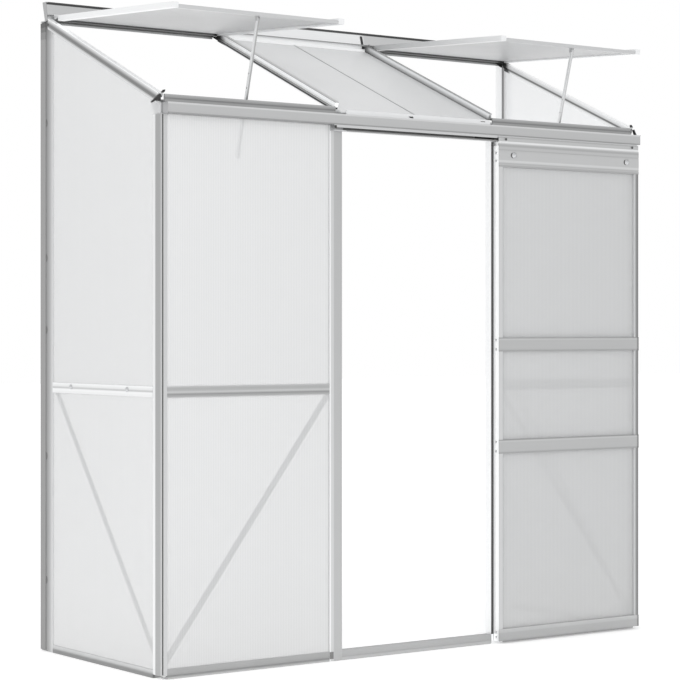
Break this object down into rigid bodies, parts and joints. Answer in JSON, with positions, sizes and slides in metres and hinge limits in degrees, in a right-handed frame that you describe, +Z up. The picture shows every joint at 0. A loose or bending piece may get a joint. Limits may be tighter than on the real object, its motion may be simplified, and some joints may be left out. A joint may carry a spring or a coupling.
{
  "type": "lean-to greenhouse",
  "caption": "Narrow lean-to greenhouse of aluminium profiles and twin-wall sheet, with a sliding door and top-hung roof vents on stays.",
  "frame": {"origin": "on the ground, under the middle of the overall bounding box", "axes": "+Z up, +Y towards the house wall, +X along the front towards the bay behind the open door"},
  "size_m": [1.906, 0.7748, 2.0691],
  "materials": {
    "steel": "galvanised strip, matt",
    "profile": "mill finish, satin",
    "wall_sheet": "translucent twin-wall sheet",
    "roof_sheet": "translucent twin-wall sheet",
    "nylon": "black nylon"
  },
  "bodies": {
    "frame": {"door_sill": "profile", "eave_rail": "profile", "ridge_rail": "profile", "door_track": "profile", "roof_sheet_middle": "roof_sheet", "corner_post_left": "profile", "jamb_left": "profile", "wall_post_left": "profile", "base_rail_front_left": "profile", "base_rail_gable_left": "profile", "waist_rail_front_left": "profile", "waist_rail_gable_left": "profile", "brace_front_left": "steel", "brace_gable_left": "steel", "roof_bar_gable_left": "profile", "roof_bar_middle_left": "profile", "gable_sheet_lower_left": "wall_sheet", "gable_sheet_upper_left": "wall_sheet", "front_sheet_lower_left": "wall_sheet", "front_sheet_upper_left": "wall_sheet", "vent_sill_left": "profile", "corner_post_right": "profile", "jamb_right": "profile", "wall_post_right": "profile", "base_rail_front_right": "profile", "base_rail_gable_right": "profile", "waist_rail_front_right": "profile", "waist_rail_gable_right": "profile", "brace_front_right": "steel", "brace_gable_right": "steel", "roof_bar_gable_right": "profile", "roof_bar_middle_right": "profile", "gable_sheet_lower_right": "wall_sheet", "gable_sheet_upper_right": "wall_sheet", "front_sheet_lower_right": "wall_sheet", "front_sheet_upper_right": "wall_sheet", "vent_sill_right": "profile"},
    "door": {"door_top_rail": "profile", "door_bottom_rail": "profile", "door_mid_rail_lower": "profile", "door_mid_rail_upper": "profile", "door_stile_left": "profile", "door_stile_right": "profile", "door_sheet_bottom": "wall_sheet", "door_sheet_middle": "wall_sheet", "door_sheet_top": "wall_sheet"},
    "roller_left": {"door_roller_left": "nylon"},
    "roller_right": {"door_roller_right": "nylon"},
    "vent_left": {"vent_left_hinge_rail": "profile", "vent_left_stile_left": "profile", "vent_left_stile_right": "profile", "vent_left_front_rail": "profile", "vent_left_sheet": "roof_sheet"},
    "stay_left": {"vent_left_stay": "profile"},
    "vent_right": {"vent_right_hinge_rail": "profile", "vent_right_stile_left": "profile", "vent_right_stile_right": "profile", "vent_right_front_rail": "profile", "vent_right_sheet": "roof_sheet"},
    "stay_right": {"vent_right_stay": "profile"}
  },
  "joints": [
    {"name": "door_slide", "type": "slide", "parent": "frame", "child": "door", "axis": [1, 0, 0], "range_m": [-0.621, 0]},
    {"name": "roller_left_turn", "type": "hinge", "parent": "door", "child": "roller_left", "pos_m": [0.34, -0.36812, 1.6451], "axis": [0, 1, 0], "range_deg": [-5940, 10]},
    {"name": "roller_right_turn", "type": "hinge", "parent": "door", "child": "roller_right", "pos_m": [0.903, -0.36812, 1.6451], "axis": [0, 1, 0], "range_deg": [-5940, 10]},
    {"name": "vent_left_hinge", "type": "hinge", "parent": "frame", "child": "vent_left", "pos_m": [-0.6255, 0.33438, 2.02356], "axis": [1, 0, 0], "range_deg": [-10, 20.2]},
    {"name": "stay_left_pivot", "type": "hinge", "parent": "vent_left", "child": "stay_left", "pos_m": [-0.6215, -0.36748, 1.95986], "axis": [1, 0, 0], "range_deg": [-20.2, 10]},
    {"name": "vent_right_hinge", "type": "hinge", "parent": "frame", "child": "vent_right", "pos_m": [0.6255, 0.33438, 2.02356], "axis": [1, 0, 0], "range_deg": [-10, 20.2]},
    {"name": "stay_right_pivot", "type": "hinge", "parent": "vent_right", "child": "stay_right", "pos_m": [0.6425, -0.36748, 1.95986], "axis": [1, 0, 0], "range_deg": [-20.2, 10]}
  ],
  "couplings": [
    {"joint": "roller_left_turn", "follows": "door_slide", "rad_per_m": 166.67},
    {"joint": "roller_right_turn", "follows": "door_slide", "rad_per_m": 166.67},
    {"joint": "stay_left_pivot", "follows": "vent_left_hinge", "ratio": -1},
    {"joint": "stay_right_pivot", "follows": "vent_right_hinge", "ratio": -1}
  ]
}
